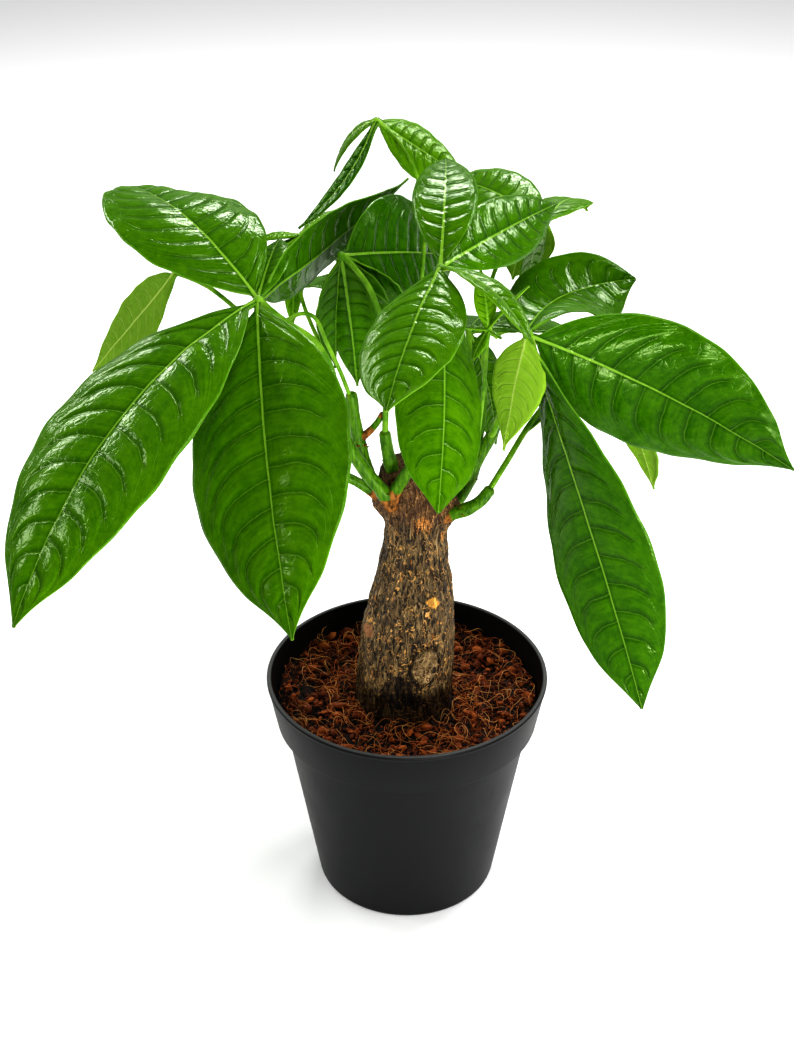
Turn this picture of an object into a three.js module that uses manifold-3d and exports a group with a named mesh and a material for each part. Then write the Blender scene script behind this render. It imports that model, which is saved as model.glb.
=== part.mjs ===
// Money tree (Pachira) in a 12 cm nursery pot.
// Millimetres, +Z up. The middle of the pot's base is the origin and the viewed side faces -Y.
import * as THREE from 'three';
import { mergeVertices } from 'three/addons/utils/BufferGeometryUtils.js';
import Module from 'manifold-3d';

const wasm = await Module();
wasm.setup();

// Driving sizes
const GAP = 0.35;
const POT_HEIGHT = 104;
const POT_RIM_RADIUS = 60;
const POT_BASE_RADIUS = 39.4;
const POT_WALL = 1.4;
const COLLAR_HEIGHT = 21.2;
const COLLAR_FOOT_RADIUS = 56.1;
const BODY_TOP_RADIUS = 53;
const FLOOR_THICKNESS = 2.4;
const DRAIN_HOLES = 8;
const MEDIUM_TOP = 88;
const TRUNK_FOOT = 62;
const TRUNK_TOP = 204;
const BLADE_THICKNESS = 0.8;
const BLADE_FOLD = 6;
const BLADE_CURL = 21;
const BLADE_WIDEST = 0.46;

const rad = THREE.MathUtils.degToRad;
const smooth = THREE.MathUtils.smoothstep;
const vec = ([x, y, z]) => new THREE.Vector3(x, y, z);

// Solids and joins
function toSolid(geometry) {
  const bare = geometry.clone();
  bare.deleteAttribute('normal');
  bare.deleteAttribute('uv');
  const welded = mergeVertices(bare, 1e-4);
  const mesh = new wasm.Mesh({
    numProp: 3,
    vertProperties: new Float32Array(welded.attributes.position.array),
    triVerts: new Uint32Array(welded.index.array),
  });
  return new wasm.Manifold(mesh);
}

function toGeometry(solid) {
  const mesh = solid.getMesh();
  const geometry = new THREE.BufferGeometry();
  geometry.setAttribute('position', new THREE.BufferAttribute(new Float32Array(mesh.vertProperties), 3));
  geometry.setIndex(new THREE.BufferAttribute(new Uint32Array(mesh.triVerts), 1));
  geometry.computeVertexNormals();
  return geometry;
}

function fuse(solids) {
  return solids.reduce((whole, piece) => whole.add(piece));
}

// Loops of equally many points, joined in order and closed flat at both ends.
// Loops run anticlockwise when seen from the end of the stack.
function stack(loops) {
  const count = loops[0].length;
  const points = loops.flat();
  const last = loops.length - 1;
  const index = [];
  for (let i = 0; i < last; i += 1) {
    for (let j = 0; j < count; j += 1) {
      const a = i * count + j;
      const b = i * count + ((j + 1) % count);
      index.push(a, b, b + count, a, b + count, a + count);
    }
  }
  const middle = (loop) => loop.reduce((sum, p) => sum.add(p), new THREE.Vector3()).divideScalar(count);
  const start = points.push(middle(loops[0])) - 1;
  const end = points.push(middle(loops[last])) - 1;
  for (let j = 0; j < count; j += 1) {
    const next = (j + 1) % count;
    index.push(start, next, j, end, last * count + j, last * count + next);
  }
  const geometry = new THREE.BufferGeometry().setFromPoints(points);
  geometry.setIndex(index);
  return geometry;
}

// A round stem through a few points, tapering from one radius to the other, with a rounded end.
function stem(places, startRadius, endRadius, sides = 8, steps = 10) {
  const curve = new THREE.CatmullRomCurve3(places.map(vec));
  const frames = curve.computeFrenetFrames(steps, false);
  const loops = [];
  for (let i = 0; i <= steps; i += 1) {
    const centre = curve.getPointAt(i / steps);
    const radius = THREE.MathUtils.lerp(startRadius, endRadius, i / steps);
    loops.push(ringAround(centre, frames.normals[i], frames.binormals[i], radius, sides));
  }
  const tip = curve.getPointAt(1).addScaledVector(frames.tangents[steps], endRadius * 0.4);
  loops.push(ringAround(tip, frames.normals[steps], frames.binormals[steps], endRadius * 0.6, sides));
  return toSolid(stack(loops));
}

function ringAround(centre, across, up, radius, sides) {
  const loop = [];
  for (let j = 0; j < sides; j += 1) {
    const angle = (2 * Math.PI * j) / sides;
    const point = centre.clone().addScaledVector(across, radius * Math.cos(angle));
    loop.push(point.addScaledVector(up, radius * Math.sin(angle)));
  }
  return loop;
}

function knob(place, radius, flatness = 1) {
  const ball = new THREE.SphereGeometry(radius, 6, 4);
  ball.scale(1, 1, flatness);
  ball.translate(...place);
  return toSolid(ball);
}

// One leaflet. Its midrib leaves the hub at a heading (0 is +X, 90 is +Y) and a rise, both in
// degrees, and turns evenly: down by droop and sideways by swing. Roll and twist tip the blade
// about its midrib. Fold lifts the two halves from the midrib and the curl bends them down again.
function leaflet(heading, rise, droop, swing, length, width, roll, twist, ...rest) {
  const [fold = BLADE_FOLD, widest = BLADE_WIDEST] = rest;
  return { heading, rise, droop, swing, length, width, roll, twist, fold, widest };
}

function halfWidth(shape, along) {
  const s = THREE.MathUtils.clamp((along - 0.03) / 0.97, 0, 1);
  const swell = (s / shape.widest) ** 0.9;
  const taper = ((1 - s) / (1 - shape.widest)) ** ((0.9 * (1 - shape.widest)) / shape.widest);
  const point = 1 - 0.35 * smooth(s, 0.84, 1);
  return (shape.width / 2) * swell * taper * point;
}

function blade(hub, shape) {
  const cells = shape.length > 74 ? 4 : 2;
  const stations = cells === 4 ? 8 : Math.max(4, Math.round(shape.length / 9));
  const centre = vec(hub);
  const loops = [];
  const substeps = 4;
  for (let i = 0; i <= stations; i += 1) {
    const along = i / stations;
    const heading = rad(shape.heading + shape.swing * along);
    const pitch = rad(shape.rise - shape.droop * along);
    const flat = Math.cos(pitch);
    const forward = vec([Math.cos(heading) * flat, Math.sin(heading) * flat, Math.sin(pitch)]);
    const right = new THREE.Vector3(Math.sin(heading), -Math.cos(heading), 0);
    const turn = rad(shape.roll + shape.twist * along);
    const level = new THREE.Vector3().crossVectors(right, forward);
    const side = right.clone().multiplyScalar(Math.cos(turn)).addScaledVector(level, Math.sin(turn));
    const up = new THREE.Vector3().crossVectors(side, forward);
    const half = Math.max(halfWidth(shape, along), THREE.MathUtils.lerp(1.1, 0.5, along));
    const thickness = THREE.MathUtils.lerp(1.9, BLADE_THICKNESS, smooth(along, 0, 0.16));
    loops.push(crossSection(centre, side, up, half, thickness, shape, along, cells));
    for (let k = 0; k < substeps; k += 1) {
      const u = along + (k + 0.5) / substeps / stations;
      const a = rad(shape.heading + shape.swing * u);
      const p = rad(shape.rise - shape.droop * u);
      const step = shape.length / stations / substeps;
      centre.x += Math.cos(a) * Math.cos(p) * step;
      centre.y += Math.sin(a) * Math.cos(p) * step;
      centre.z += Math.sin(p) * step;
    }
  }
  return toSolid(stack(loops));
}

// The upper face from the left margin to the right one, then the lower face back again.
function crossSection(centre, side, up, half, thickness, shape, along, cells) {
  const top = [];
  const under = [];
  const fold = rad(shape.fold) * smooth(along, 0, 0.1);
  const curl = rad(BLADE_CURL);
  for (let j = 0; j <= cells; j += 1) {
    const t = (2 * j) / cells - 1;
    const bend = fold - curl * Math.abs(t);
    const x = (Math.sign(t) * half * (Math.sin(fold) - Math.sin(bend))) / curl;
    const wave = 0.012 * half * t * t * Math.sin(20 * along + 2 * Math.sign(t));
    const z = (half * (Math.cos(bend) - Math.cos(fold))) / curl + wave;
    const point = centre.clone().addScaledVector(side, x).addScaledVector(up, z);
    top.push(point.clone().addScaledVector(up, thickness / 2));
    under.unshift(point.addScaledVector(up, -thickness / 2));
  }
  return [...top, ...under];
}

// Pot: a thin tapering wall with a collar, a rolled lip and holes in its floor.
function potSolid() {
  const collarFoot = POT_HEIGHT - COLLAR_HEIGHT;
  const inner = POT_RIM_RADIUS - 2.2;
  const profile = [
    [0, 0],
    [POT_BASE_RADIUS - 1.6, 0],
    [POT_BASE_RADIUS, 1.8],
    [BODY_TOP_RADIUS, collarFoot],
    [COLLAR_FOOT_RADIUS, collarFoot],
    [POT_RIM_RADIUS - 0.3, POT_HEIGHT - 2],
    [POT_RIM_RADIUS, POT_HEIGHT - 1],
    [POT_RIM_RADIUS - 0.5, POT_HEIGHT],
    [inner + 0.5, POT_HEIGHT],
    [inner, POT_HEIGHT - 0.8],
    [COLLAR_FOOT_RADIUS - POT_WALL, collarFoot + POT_WALL],
    [BODY_TOP_RADIUS - POT_WALL, collarFoot + POT_WALL - 0.4],
    [POT_BASE_RADIUS - POT_WALL, FLOOR_THICKNESS],
    [0, FLOOR_THICKNESS],
  ];
  const shell = new THREE.LatheGeometry(profile.map(([r, z]) => new THREE.Vector2(r, z)), 36);
  shell.rotateX(Math.PI / 2);
  let pot = toSolid(shell);
  for (let i = 0; i < DRAIN_HOLES; i += 1) {
    const drill = new THREE.CylinderGeometry(3.5, 3.5, 3 * FLOOR_THICKNESS, 8);
    drill.rotateX(Math.PI / 2);
    drill.translate(27, 0, FLOOR_THICKNESS / 2);
    drill.rotateZ((2 * Math.PI * (i + 0.5)) / DRAIN_HOLES);
    pot = pot.subtract(toSolid(drill));
  }
  return pot;
}

// Trunk: rings whose centre and radius follow the bottle shape, with bark ridges and swellings.
const TRUNK_RINGS = [
  { z: TRUNK_FOOT, shift: -1.3, radius: 17 },
  { z: 92, shift: -1.1, radius: 20.1 },
  { z: 112, shift: -0.4, radius: 20.2 },
  { z: 128, shift: 0.6, radius: 19.1 },
  { z: 144, shift: 1.7, radius: 17.2 },
  { z: 158, shift: 2.6, radius: 14.7 },
  { z: 173, shift: 3.4, radius: 12.8 },
  { z: 184, shift: 4, radius: 13.2 },
  { z: 194, shift: 3, radius: 14.6 },
  { z: TRUNK_TOP, shift: 1.5, radius: 12.4 },
];
// Where the trunk swells: knot, pruned branches and the collars under the shoots.
const TRUNK_SWELLINGS = [
  { angle: -68, z: 117, height: 2.2, spread: 16, reach: 8 },
  { angle: -55, z: 147, height: 0.8, spread: 16, reach: 5 },
  { angle: 200, z: 131, height: 1.2, spread: 18, reach: 6 },
  { angle: 192, z: 188, height: 4.2, spread: 26, reach: 6 },
  { angle: -8, z: 186, height: 4.6, spread: 28, reach: 6 },
  { angle: 100, z: 180, height: 1.4, spread: 30, reach: 8 },
  { angle: 80, z: 122, height: 1.6, spread: 20, reach: 9 },
];

function trunkSolid(grow = 0) {
  const sides = 24;
  const steps = 19;
  const rings = TRUNK_RINGS.map((r) => new THREE.Vector3(r.shift, r.radius, r.z));
  const heights = new THREE.CatmullRomCurve3(rings);
  const loops = [];
  for (let i = 0; i <= steps; i += 1) {
    const ring = heights.getPoint(i / steps);
    const loop = [];
    for (let j = 0; j < sides; j += 1) {
      const angle = (2 * Math.PI * j) / sides;
      const ridge = 0.022 * Math.sin(9 * angle + 2 * Math.sin(ring.z / 18));
      const fineRidge = 0.014 * Math.sin(14 * angle - ring.z / 9);
      let radius = ring.y * (1 + ridge + fineRidge) + grow;
      TRUNK_SWELLINGS.forEach((s) => {
        const across = THREE.MathUtils.euclideanModulo((angle * 180) / Math.PI - s.angle + 180, 360) - 180;
        radius += s.height * Math.exp(-((across / s.spread) ** 2) - ((ring.z - s.z) / s.reach) ** 2);
      });
      loop.push(new THREE.Vector3(ring.x + radius * Math.cos(angle), radius * Math.sin(angle), ring.z));
    }
    loops.push(loop);
  }
  const top = loops[steps].map((p) => new THREE.Vector3(1.5, 0, TRUNK_TOP + 1.6).lerp(p, 0.55));
  loops.push(top);
  return toSolid(stack(loops));
}

// Growing medium: coir chips and fibres that fill the pot, heaped a little against its wall.
const random = (() => {
  let state = 7;
  return () => {
    state = (state * 16807) % 2147483647;
    return state / 2147483647;
  };
})();

function mediumHeight(radius, angle) {
  const mound = 2.5 * Math.cos((Math.PI * radius) / 112) + 5.5 * smooth(radius, 34, 54);
  const lumps = 0.9 * Math.sin(radius * 0.31 + 3 * angle) * Math.cos(5 * angle - radius * 0.13);
  return MEDIUM_TOP + mound + lumps + 0.7 * Math.sin(11 * angle + radius * 0.7);
}

function mediumSolid() {
  const collarFoot = POT_HEIGHT - COLLAR_HEIGHT;
  const wallClear = POT_WALL + GAP;
  const sides = 30;
  const edges = [
    [POT_BASE_RADIUS - wallClear - 0.3, FLOOR_THICKNESS + GAP],
    [BODY_TOP_RADIUS - wallClear - 0.5, collarFoot + 0.2],
    [BODY_TOP_RADIUS - wallClear - 0.5, collarFoot + POT_WALL + GAP],
    [COLLAR_FOOT_RADIUS - wallClear - 0.2, collarFoot + POT_WALL + GAP + 0.1],
  ];
  const loops = edges.map(([r, z]) => mediumRing(sides, r, () => z));
  [55.4, 50, 42, 32, 19].forEach((r) => {
    loops.push(mediumRing(sides, r, (angle) => mediumHeight(r, angle)));
  });
  const pieces = [toSolid(stack(loops))];
  for (let i = 0; i < 22; i += 1) {
    pieces.push(chip());
  }
  return fuse(pieces).subtract(trunkSolid(GAP));
}

function mediumRing(sides, radius, height) {
  const loop = [];
  for (let j = 0; j < sides; j += 1) {
    const angle = (2 * Math.PI * j) / sides;
    loop.push(new THREE.Vector3(radius * Math.cos(angle), radius * Math.sin(angle), height(angle)));
  }
  return loop;
}

function chip() {
  const size = 3 + 5 * random();
  const box = new THREE.BoxGeometry(size, 2 + 2.5 * random(), 2.6);
  box.rotateX(rad(60 * random() - 30));
  box.rotateY(rad(50 * random() - 25));
  box.rotateZ(2 * Math.PI * random());
  const radius = 28 + 21 * random();
  const angle = 2 * Math.PI * random();
  box.translate(radius * Math.cos(angle), radius * Math.sin(angle), mediumHeight(radius, angle) - 0.1);
  return toSolid(box);
}

// Green shoots on the trunk top. Each is a stem or a few, with the swollen nodes on it.
const SHOOTS = {
  shoot_left: {
    stems: [
      {
        places: [
          [-8, -1, 186], [-14, -1, 196], [-17, -1, 205],
          [-19, -1, 214], [-21, -1, 226], [-22, -1, 236],
        ],
        from: 3.2,
        to: 2.4,
      },
      { places: [[-11, -3, 191], [-15, -5, 196], [-19, -6, 199.5], [-24, -7, 203]], from: 2.4, to: 1.9 },
      { places: [[-19, -1, 217], [-15, -2, 221], [-12, -2.5, 225], [-10, -3, 229]], from: 1.6, to: 1.1 },
    ],
    node: { place: [-18.8, -1.4, 214.5], radius: 3 },
  },
  shoot_front: {
    stems: [
      {
        places: [[-6, -10, 191], [-9, -12, 198], [-16, -13, 208], [-22, -14, 219], [-26, -15, 227.5]],
        from: 3,
        to: 2.4,
      },
      { places: [[-7, -11, 194], [-4, -13.4, 202], [1, -16, 212]], from: 2.6, to: 2.4 },
    ],
    node: { place: [-8, -12, 197.5], radius: 3.5 },
  },
  shoot_centre: {
    stems: [
      {
        places: [[-3.5, -3.5, 194], [-6, -4, 204], [-8, -5, 214], [-9, -5.6, 221.5]],
        from: 2.8,
        to: 2.3,
      },
    ],
    node: { place: [-7, -4.4, 208], radius: 3.1 },
  },
  shoot_rear: {
    stems: [{ places: [[4, 6, 194], [3, 8, 204], [0, 10, 213], [-2, 12, 221]], from: 2.9, to: 2.4 }],
    node: { place: [1.4, 9, 208.5], radius: 3.1 },
  },
  shoot_right: {
    stems: [
      {
        places: [[15, 3.5, 181], [21, 4.4, 187], [25, 5.4, 195], [28, 6, 203], [34, 7, 215]],
        from: 2.9,
        to: 2.4,
      },
    ],
    node: { place: [25, 5.4, 195.5], radius: 3.2 },
  },
  shoot_low_right: {
    stems: [
      {
        places: [[11, -6, 182], [18, -7, 186], [24, -8, 189], [29, -8, 192.5], [32.5, -7.4, 197]],
        from: 2.6,
        to: 2.4,
      },
    ],
    node: { place: [23, -8, 188.6], radius: 2.9 },
  },
};

function shootSolid({ stems, node }, grow = 0) {
  const pieces = stems.map(({ places, from, to }) => {
    const first = vec(places[0]);
    const deeper = first.addScaledVector(vec(places[1]).sub(first).normalize(), -grow);
    return stem([deeper.toArray(), ...places.slice(1)], from + grow, to + grow, 7, 5);
  });
  pieces.push(knob(node.place, node.radius + grow, 0.6));
  return fuse(pieces);
}

// Leaves: the stalk from its seat to the hub, then the leaflets around the hub.
const LEAVES = {
  leaf_left: {
    seat: 'shoot_front',
    stalk: [
      [-25.6, -15, 226], [-27, -17, 240], [-29, -21, 257],
      [-35, -26, 271], [-45, -31, 281], [-54, -35, 291],
    ],
    leaflets: [
      leaflet(128, 30, 47, -6, 107, 54, 12, -24, 6, 0.48),
      leaflet(-135, -7, 45, 17, 151, 62, -1, -7, 6, 0.49),
      leaflet(-87, -24, 13, 10, 135, 63, -26, -11, 6, 0.47),
      leaflet(64, 0, -13, -9, 108, 28, 84, -12, 20, 0.38),
      leaflet(82, 24, 30, 0, 44, 15, 10, 0),
    ],
  },
  leaf_left_rear: {
    seat: 'shoot_left',
    stalk: [
      [-20.5, 0.6, 217], [-27, 5, 226], [-40, 8, 240],
      [-58, 12, 258], [-76, 15, 274], [-89, 15, 281],
    ],
    leaflets: [
      leaflet(145, -49, -2, -1, 76, 30, 51, 12),
      leaflet(131, 38, 54, 0, 46, 17, 0, 0),
      leaflet(92, 14, 34, 0, 62, 25, 0, 0),
      leaflet(42, 6, 30, 0, 54, 21, 0, 0),
    ],
  },
  leaf_hanging: {
    seat: 'shoot_centre',
    stalk: [
      [-9, -5.6, 220], [-8.5, -5.2, 240], [-9, -4.5, 262],
      [-14, -4, 281], [-21, -4.5, 292], [-25, -5, 296],
    ],
    leaflets: [
      leaflet(105, -62, 26, -3, 55, 20, 50, -1, 33),
      leaflet(78, -66, 14, -7, 66, 22, 10, 0, 28),
      leaflet(63, -50, 17, -5, 55, 20, 0, 0, 23),
      leaflet(56, -30, 25, -1, 54, 20, -10, 0, 18),
      leaflet(51, -14, 11, 13, 91, 46, -66, -6),
    ],
  },
  leaf_front: {
    seat: 'shoot_front',
    stalk: [[0.6, -15.8, 210.5], [5, -21, 230], [9, -29, 260], [11, -38, 289], [11, -45, 308]],
    leaflets: [
      leaflet(86, 28, 40, 3, 83, 24, 4, -3, 6, 0.47),
      leaflet(-106, -6, 12, 5, 81, 36, -6, -12, 2, 0.51),
      leaflet(53, 3, 12, 10, 88, 25, -44, -11),
      leaflet(-54, 16, 49, -7, 57, 14, 15, 3, 18),
      leaflet(-86, -38, 13, -11, 89, 37, 48, -20, 2, 0.54),
    ],
  },
  leaf_right: {
    seat: 'shoot_right',
    stalk: [[33, 6.8, 213], [37, 0, 229], [41, -12, 252], [44, -25, 273]],
    leaflets: [
      leaflet(17, -27, 1, -38, 119, 55, -84, -20, 4, 0.48),
      leaflet(82, -1, 5, -57, 83, 40, 35, -90, 11, 0.53),
      leaflet(-55, -57, 15, 23, 152, 46, -112, 49, 4, 0.52),
      leaflet(-131, -68, 7, 11, 44.5, 27, -4, -22, 6, 0.39),
      leaflet(60, -22, 26, 0, 50, 20, 0, 0),
    ],
  },
  leaf_right_rear: {
    seat: 'shoot_right',
    stalk: [
      [28.6, 7.2, 205], [31, 14, 225], [30, 22, 250],
      [34, 29, 275], [44, 33, 289], [54, 34, 294],
    ],
    leaflets: [
      leaflet(126, 9, 25, -8, 69, 30, 7, 25, 6, 0.5),
      leaflet(69, 11, 52, -3, 60, 20, 1, 2, 6, 0.42),
      leaflet(127, -57, 37, -6, 42, 14, 14, -2, 7, 0.42),
      leaflet(111, -27, 43, -7, 51, 24, -27, -18),
    ],
  },
  leaf_top: {
    seat: 'shoot_rear',
    stalk: [
      [-1.8, 11.8, 219.5], [2, 16, 250], [6, 23, 284],
      [5, 31, 308], [-3, 35, 325], [-12, 36, 334],
    ],
    leaflets: [
      leaflet(16, -38, -4, -1, 44, 25, -35, -8, 2, 0.48),
      leaflet(200, -68, -31, -13, 52, 9, 21, -5, 18),
      leaflet(144, -24, 51, 2, 33, 7, 37, 5),
    ],
  },
  leaf_young_left: {
    seat: 'shoot_left',
    stalk: [
      [-20.4, 0.4, 222], [-27, 4, 235], [-34, 10, 252],
      [-41, 17, 268], [-43, 25, 280], [-42, 32, 289],
    ],
    leaflets: [
      leaflet(35, 40, 40, 0, 20, 7, 0, 0),
      leaflet(200, 20, 40, 0, 18, 7, 0, 0),
      leaflet(232, -6, 30, 0, 24, 9, 0, 0),
      leaflet(-103, -50, 30, 0, 36, 9, 40, 0),
    ],
  },
  leaf_young_low: {
    seat: 'shoot_left',
    stalk: [
      [-22, -1.2, 234], [-26, -3, 247], [-31, -6, 261],
      [-35, -10, 273], [-40, -15, 277], [-46, -20, 276],
    ],
    leaflets: [
      leaflet(123, -30, 25, 0, 33, 13, 0, 0),
      leaflet(160, -60, 10, 0, 28, 12, 0, 0),
    ],
  },
  leaf_long_stalk: {
    seat: 'shoot_low_right',
    stalk: [[31.8, -7.4, 196], [40, 0, 207], [49, 8, 219], [60, 17, 228], [74, 25, 229]],
    leaflets: [
      leaflet(34, -40, 35, 0, 75, 26, 0, 0),
      leaflet(212, -10, 30, 0, 36, 14, -30, 0),
      leaflet(52, -2, 45, 0, 82, 28, 0, 0),
      leaflet(84, 6, 50, 0, 92, 34, 0, 0),
    ],
  },
  leaf_young_right: {
    seat: 'shoot_right',
    stalk: [[25.4, 4.4, 198], [27, -2, 212], [29, -8, 240], [30, -12, 269]],
    leaflets: [
      leaflet(190, 25, 30, 0, 11, 4, 0, 0),
      leaflet(220, -40, 30, 0, 13, 6, 0, 0),
      leaflet(110, 76, 20, 0, 23, 9, 0, 0),
      leaflet(-10, 62, 20, 0, 24, 6, 0, 0),
      leaflet(-15, -20, 20, 0, 6, 3, 0, 0),
    ],
  },
  leaf_back_left: {
    seat: 'shoot_rear',
    stalk: [[0, 10.6, 212], [-3, 18, 224], [-7, 32, 245], [-9, 45, 261]],
    leaflets: [
      leaflet(100, 12, 45, 0, 92, 34, 0, 0),
      leaflet(128, -2, 35, 0, 76, 28, 0, 0),
      leaflet(68, 20, 45, 0, 84, 30, 0, 0),
    ],
  },
  leaf_back_right: {
    seat: 'shoot_right',
    stalk: [[26.4, 7, 200], [26, 15, 215], [26, 28, 231], [25, 40, 244]],
    leaflets: [
      leaflet(78, -6, 40, 0, 86, 32, 0, 0),
      leaflet(42, 2, 40, 0, 72, 27, 0, 0),
      leaflet(-10, -66, 20, 0, 52, 24, -30, 0),
    ],
  },
  leaf_back_low: {
    seat: 'shoot_left',
    stalk: [[-17.8, 1, 208], [-26, 11, 218], [-38, 24, 229], [-50, 35, 235]],
    leaflets: [
      leaflet(166, 2, 30, 0, 84, 30, 0, 0),
      leaflet(112, -8, 50, 0, 94, 34, 0, 0),
    ],
  },
};

function leafSolid({ stalk, leaflets }) {
  const hub = stalk[stalk.length - 1];
  const pieces = leaflets.map((shape) => blade(hub, shape));
  pieces.push(stem(stalk, stalkRadius(leaflets) * 1.15, stalkRadius(leaflets), 5, 6));
  pieces.push(knob(hub, stalkRadius(leaflets) * 1.5));
  return fuse(pieces);
}

function stalkRadius(leaflets) {
  return THREE.MathUtils.clamp(Math.max(...leaflets.map((shape) => shape.length)) / 85, 0.75, 1.35);
}

// The room that a stalk needs in its seat, a little larger all round and a little deeper.
function stalkRoom({ stalk, leaflets }) {
  const [first, second] = stalk.map(vec);
  const deeper = first.clone().addScaledVector(second.clone().sub(first).normalize(), -GAP);
  const radius = stalkRadius(leaflets);
  return stem([deeper.toArray(), ...stalk.slice(1)], radius * 1.15 + GAP, radius + GAP, 5, 6);
}

// Colours and finishes
const finish = (color, roughness) => new THREE.MeshStandardMaterial({ color, roughness, metalness: 0 });
const FINISHES = {
  pot: finish(0x242528, 0.42),
  medium: finish(0x6b3318, 0.95),
  bark: finish(0x6a5138, 0.9),
  shoot: finish(0x3f7a26, 0.5),
  leaf: finish(0x1f6d1c, 0.32),
  youngLeaf: finish(0x69a82c, 0.4),
};
const YOUNG = ['leaf_top', 'leaf_young_left', 'leaf_young_low', 'leaf_young_right'];

// Assembly
const plant = new THREE.Group();
const moneyTree = new THREE.Group();

function addPiece(group, name, solid, material) {
  const mesh = new THREE.Mesh(toGeometry(solid), material);
  mesh.name = name;
  group.add(mesh);
}

addPiece(moneyTree, 'pot', potSolid(), FINISHES.pot);
addPiece(moneyTree, 'growing_medium', mediumSolid(), FINISHES.medium);

const seats = Object.values(SHOOTS).map((shoot) => shootSolid(shoot, GAP));
addPiece(plant, 'trunk', trunkSolid().subtract(fuse(seats)), FINISHES.bark);

Object.entries(SHOOTS).forEach(([name, shoot]) => {
  const rooms = Object.values(LEAVES).filter((leaf) => leaf.seat === name).map(stalkRoom);
  addPiece(plant, name, shootSolid(shoot).subtract(fuse(rooms)), FINISHES.shoot);
});

Object.entries(LEAVES).forEach(([name, leaf]) => {
  const material = YOUNG.includes(name) ? FINISHES.youngLeaf : FINISHES.leaf;
  addPiece(plant, name, leafSolid(leaf), material);
});

moneyTree.add(plant);

export default moneyTree;
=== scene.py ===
import bisect
import math
import random
from collections import namedtuple

import bmesh
import bpy
from mathutils import Matrix, Vector, geometry, noise


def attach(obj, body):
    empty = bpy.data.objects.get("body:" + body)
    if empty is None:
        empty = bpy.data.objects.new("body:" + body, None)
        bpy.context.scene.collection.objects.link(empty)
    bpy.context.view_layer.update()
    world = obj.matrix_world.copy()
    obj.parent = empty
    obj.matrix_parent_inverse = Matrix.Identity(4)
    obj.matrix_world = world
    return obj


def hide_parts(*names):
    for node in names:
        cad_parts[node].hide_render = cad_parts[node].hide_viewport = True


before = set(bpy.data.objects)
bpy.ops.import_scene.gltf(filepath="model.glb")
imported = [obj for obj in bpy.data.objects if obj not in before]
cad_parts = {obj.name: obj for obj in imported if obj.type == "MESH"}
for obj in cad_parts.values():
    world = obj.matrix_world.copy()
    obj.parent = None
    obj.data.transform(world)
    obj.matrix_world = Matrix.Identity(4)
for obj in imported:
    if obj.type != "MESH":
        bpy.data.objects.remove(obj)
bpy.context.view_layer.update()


# Nursery pot: a thin black plastic cup moulded in one piece, with a deep collar, a rolled lip
# and eight drain holes through its floor. The plastic is satin, with a faint mould grain.
millimetre = 0.001
pot_height = 104
pot_rim_radius = 60
pot_base_radius = 39.4
pot_wall = 1.4
collar_foot = 82.8
collar_foot_radius = 56.1
body_top_radius = 53
pot_floor = 2.4
drain_holes = 8
drain_ring = 27
drain_radius = 3.5


class Tone:
    """A value or a colour on its way through a finish. Sums of values add Math nodes."""

    def __init__(self, tree, socket=None):
        self.tree = tree
        self.socket = socket

    def node(self, kind, settings=None, sockets=None, out=0):
        made = self.tree.nodes.new(kind)
        for name, value in (settings or {}).items():
            if name == "stops":
                stops = made.color_ramp.elements
                while len(stops) < len(value):
                    stops.new(1)
                for stop, (place, colour) in zip(stops, value):
                    stop.position = place
                    stop.color = colour
            else:
                setattr(made, name, value)
        for name, value in (sockets or {}).items():
            if isinstance(value, Tone):
                self.tree.links.new(value.socket, made.inputs[name])
            else:
                made.inputs[name].default_value = value
        return Tone(self.tree, made.outputs[out])

    def math(self, operation, first, second=0.0):
        return self.node("ShaderNodeMath", {"operation": operation}, {0: first, 1: second})

    def __add__(self, other):
        return self.math("ADD", self, other)

    def __radd__(self, other):
        return self.math("ADD", other, self)

    def __sub__(self, other):
        return self.math("SUBTRACT", self, other)

    def __rsub__(self, other):
        return self.math("SUBTRACT", other, self)

    def __mul__(self, other):
        return self.math("MULTIPLY", self, other)

    def __rmul__(self, other):
        return self.math("MULTIPLY", other, self)

    def __abs__(self):
        return self.math("ABSOLUTE", self)

    def part(self, axis):
        return self.node("ShaderNodeSeparateXYZ", {}, {0: self}, out=axis)

    def line(self, level, core, edge):
        """Thin lines where the value passes a level."""
        return 1 - abs(self - level).rising(core, edge)

    def rising(self, low, high):
        settings = {"interpolation_type": "SMOOTHSTEP"}
        sockets = {"Value": self, "From Min": low, "From Max": high}
        return self.node("ShaderNodeMapRange", settings, sockets)

    def between(self, first, second):
        sockets = {0: self, 6: first, 7: second}
        return self.node("ShaderNodeMix", {"data_type": "RGBA"}, sockets, out=2)


def dye(red, green, blue):
    """A colour as a screen shows it, from 0 to 255, as the finishes take it."""
    linear = [(value / 255) ** 2.2 for value in (red, green, blue)]
    return (*linear, 1)


def new_finish(name):
    material = bpy.data.materials.new(name)
    material.use_nodes = True
    return material, Tone(material.node_tree)


def feed(start, values):
    inputs = start.tree.nodes["Principled BSDF"].inputs
    for name, value in values.items():
        if isinstance(value, Tone):
            start.tree.links.new(value.socket, inputs[name])
        else:
            inputs[name].default_value = value


def painted(colour, *coats):
    """Lays coats over a colour. Each is how much of the coat shows, and its own colour."""
    for cover, coat in coats:
        colour = cover.between(colour, coat)
    return colour


def in_millimetres(start, stretch=(1, 1, 1)):
    place = start.node("ShaderNodeTexCoord", out=3)
    size = [axis / millimetre for axis in stretch]
    sockets = {"Vector": place, "Scale": size}
    return start.node("ShaderNodeMapping", {"vector_type": "POINT"}, sockets)


def grain(start, place, scale, detail, roughness=0.5, distortion=0.0):
    sockets = {"Vector": place, "Scale": scale, "Detail": detail, "Roughness": roughness}
    sockets["Distortion"] = distortion
    return start.node("ShaderNodeTexNoise", {}, sockets)


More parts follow.
